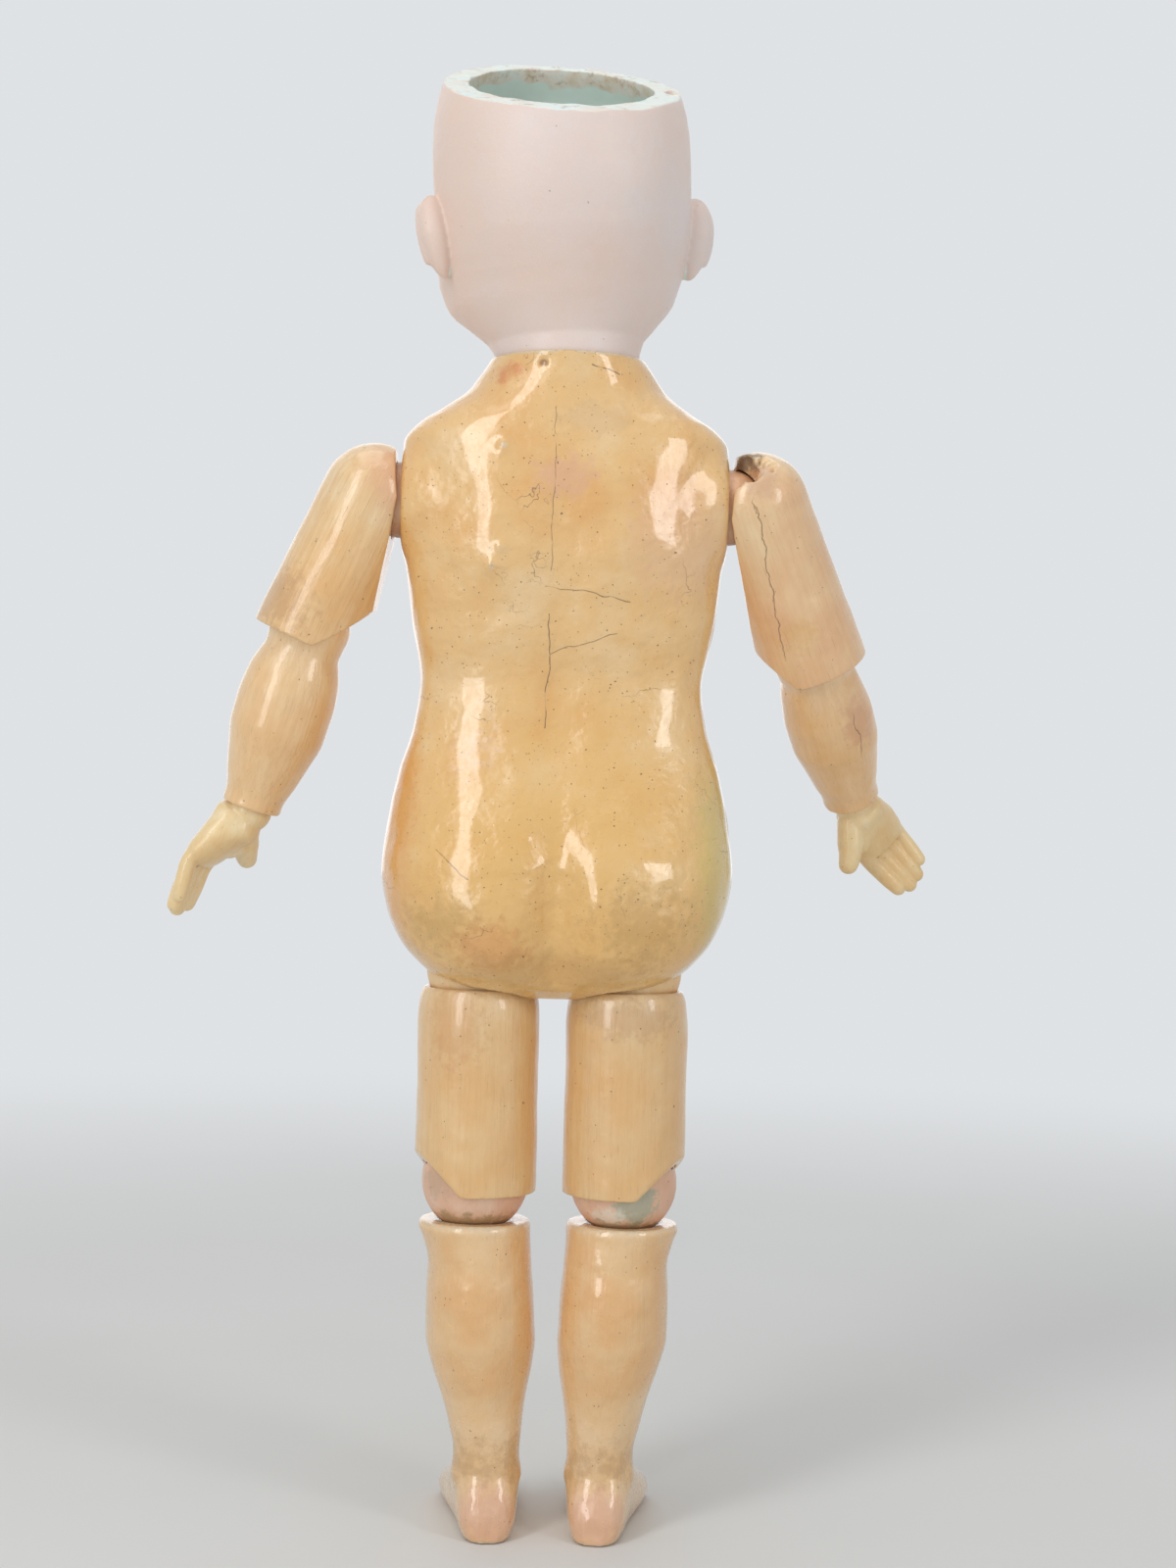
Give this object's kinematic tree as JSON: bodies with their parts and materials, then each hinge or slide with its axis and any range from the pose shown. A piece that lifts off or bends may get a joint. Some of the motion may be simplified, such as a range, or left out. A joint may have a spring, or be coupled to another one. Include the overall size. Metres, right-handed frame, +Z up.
{
  "type": "bisque doll",
  "caption": "Ball-jointed doll with an open-crowned bisque head, sleeping eyes and a varnished, elastic-strung body, standing on flat bare feet.",
  "frame": {"origin": "on the ground under the middle of the doll's bounding box", "axes": "+Z up along the standing doll, -Y the way the chest faces, +X the doll's own left"},
  "size_m": [0.1774, 0.0804, 0.3357],
  "materials": {
    "bisque": "matte",
    "varnished_composition": "gloss",
    "varnished_limb_wood": "satin",
    "painted_composition": "satin",
    "painted_hand": "matte",
    "pink_ball_paint": "satin",
    "bare_wood": "matte",
    "eye_glass": "gloss",
    "plaster": "matte",
    "cork": "matte",
    "lead": "matte",
    "steel_wire": "satin",
    "teeth": "gloss",
    "elastic_cord": "matte"
  },
  "bodies": {
    "torso": {"torso_front": "varnished_composition", "torso_back": "varnished_composition", "neck_hook": "steel_wire", "arm_elastic_torso": "elastic_cord", "leg_elastic_torso": "elastic_cord"},
    "neck_fitting": {"neck_button": "bare_wood"},
    "head": {"bisque_head": "bisque", "eye_plaster_left": "plaster", "eye_plaster_right": "plaster", "eye_cork": "cork", "upper_teeth": "teeth"},
    "eyes": {"glass_eye_left": "eye_glass", "glass_eye_right": "eye_glass", "eye_rocker": "steel_wire", "eye_weight": "lead"},
    "shoulder_ball_left": {"shoulder_ball_left": "pink_ball_paint"},
    "upper_arm_left": {"upper_arm_left": "varnished_limb_wood", "arm_elastic_left": "elastic_cord"},
    "forearm_left": {"forearm_left": "varnished_limb_wood", "forearm_hook_left": "steel_wire", "wrist_elastic_left": "elastic_cord"},
    "hand_left": {"hand_left": "painted_hand", "wrist_hook_left": "steel_wire"},
    "hip_ball_left": {"hip_ball_left": "pink_ball_paint"},
    "thigh_left": {"thigh_left": "varnished_limb_wood", "leg_elastic_left": "elastic_cord"},
    "knee_ball_left": {"knee_ball_left": "pink_ball_paint"},
    "lower_leg_left": {"lower_leg_left": "painted_composition", "leg_hook_left": "steel_wire"},
    "shoulder_ball_right": {"shoulder_ball_right": "pink_ball_paint"},
    "upper_arm_right": {"upper_arm_right": "varnished_limb_wood", "arm_elastic_right": "elastic_cord"},
    "forearm_right": {"forearm_right": "varnished_limb_wood", "forearm_hook_right": "steel_wire", "wrist_elastic_right": "elastic_cord"},
    "hand_right": {"hand_right": "painted_hand", "wrist_hook_right": "steel_wire"},
    "hip_ball_right": {"hip_ball_right": "pink_ball_paint"},
    "thigh_right": {"thigh_right": "varnished_limb_wood", "leg_elastic_right": "elastic_cord"},
    "knee_ball_right": {"knee_ball_right": "pink_ball_paint"},
    "lower_leg_right": {"lower_leg_right": "painted_composition", "leg_hook_right": "steel_wire"}
  },
  "joints": [
    {"name": "head_turn", "type": "hinge", "parent": "torso", "child": "neck_fitting", "pos_m": [0.00012, 0.01141, 0.2635], "axis": [0, 0, 1], "range_deg": [-85, 65]},
    {"name": "head_nod", "type": "hinge", "parent": "neck_fitting", "child": "head", "pos_m": [0.00012, 0.01141, 0.2635], "axis": [0.9781, 0.2079, 0], "range_deg": [-6, 5]},
    {"name": "eyes_sleep", "type": "hinge", "parent": "head", "child": "eyes", "pos_m": [0.00538, -0.00464, 0.29395], "axis": [0.9764, 0.2075, -0.0593], "range_deg": [0, 62]},
    {"name": "shoulder_swing_left", "type": "hinge", "parent": "torso", "child": "shoulder_ball_left", "pos_m": [0.03662, 0.01141, 0.2307], "axis": [-1, 0, 0], "range_deg": [-50, 140]},
    {"name": "arm_lift_left", "type": "hinge", "parent": "shoulder_ball_left", "child": "upper_arm_left", "pos_m": [0.03662, 0.01141, 0.2307], "axis": [0, -0.9994, 0.0349], "range_deg": [-10, 4]},
    {"name": "elbow_bend_left", "type": "hinge", "parent": "upper_arm_left", "child": "forearm_left", "pos_m": [0.05678, 0.01039, 0.20146], "axis": [-0.4279, 0.8757, -0.2239], "range_deg": [-7.5, 42.5]},
    {"name": "wrist_turn_left", "type": "hinge", "parent": "forearm_left", "child": "hand_left", "pos_m": [0.06996, 0.00628, 0.16021], "axis": [-0.303, 0.0944, 0.9483], "range_deg": [-80, 80]},
    {"name": "hip_swing_left", "type": "hinge", "parent": "torso", "child": "hip_ball_left", "pos_m": [0.01672, 0.01141, 0.1265], "axis": [-1, 0, 0], "range_deg": [0, 62]},
    {"name": "thigh_turn_left", "type": "hinge", "parent": "hip_ball_left", "child": "thigh_left", "pos_m": [0.01672, 0.01141, 0.1265], "axis": [0, 0, 1], "range_deg": [-4, 60]},
    {"name": "knee_bend_left", "type": "hinge", "parent": "thigh_left", "child": "knee_ball_left", "pos_m": [0.01672, 0.01141, 0.0789], "axis": [0.2588, -0.9659, 0], "range_deg": [0, 58]},
    {"name": "shin_turn_left", "type": "hinge", "parent": "knee_ball_left", "child": "lower_leg_left", "pos_m": [0.01672, 0.01141, 0.0789], "axis": [0, 0, 1], "range_deg": [-4, 60]},
    {"name": "shoulder_swing_right", "type": "hinge", "parent": "torso", "child": "shoulder_ball_right", "pos_m": [-0.03638, 0.01141, 0.2307], "axis": [-1, 0, 0], "range_deg": [-50, 140]},
    {"name": "arm_lift_right", "type": "hinge", "parent": "shoulder_ball_right", "child": "upper_arm_right", "pos_m": [-0.03638, 0.01141, 0.2307], "axis": [0, 0.9272, -0.3746], "range_deg": [-10, 4]},
    {"name": "elbow_bend_right", "type": "hinge", "parent": "upper_arm_right", "child": "forearm_right", "pos_m": [-0.0571, -0.00153, 0.19866], "axis": [-0.8968, -0.1056, 0.4295], "range_deg": [-15.5, 34.5]},
    {"name": "wrist_turn_right", "type": "hinge", "parent": "forearm_right", "child": "hand_right", "pos_m": [-0.06988, -0.02694, 0.16574], "axis": [-0.2936, -0.5841, -0.7567], "range_deg": [-80, 80]},
    {"name": "hip_swing_right", "type": "hinge", "parent": "torso", "child": "hip_ball_right", "pos_m": [-0.01648, 0.01141, 0.1265], "axis": [-1, 0, 0], "range_deg": [0, 62]},
    {"name": "thigh_turn_right", "type": "hinge", "parent": "hip_ball_right", "child": "thigh_right", "pos_m": [-0.01648, 0.01141, 0.1265], "axis": [0, 0, -1], "range_deg": [-4, 60]},
    {"name": "knee_bend_right", "type": "hinge", "parent": "thigh_right", "child": "knee_ball_right", "pos_m": [-0.01648, 0.01141, 0.0789], "axis": [0.2588, 0.9659, 0], "range_deg": [0, 58]},
    {"name": "shin_turn_right", "type": "hinge", "parent": "knee_ball_right", "child": "lower_leg_right", "pos_m": [-0.01648, 0.01141, 0.0789], "axis": [0, 0, -1], "range_deg": [-4, 60]}
  ]
}
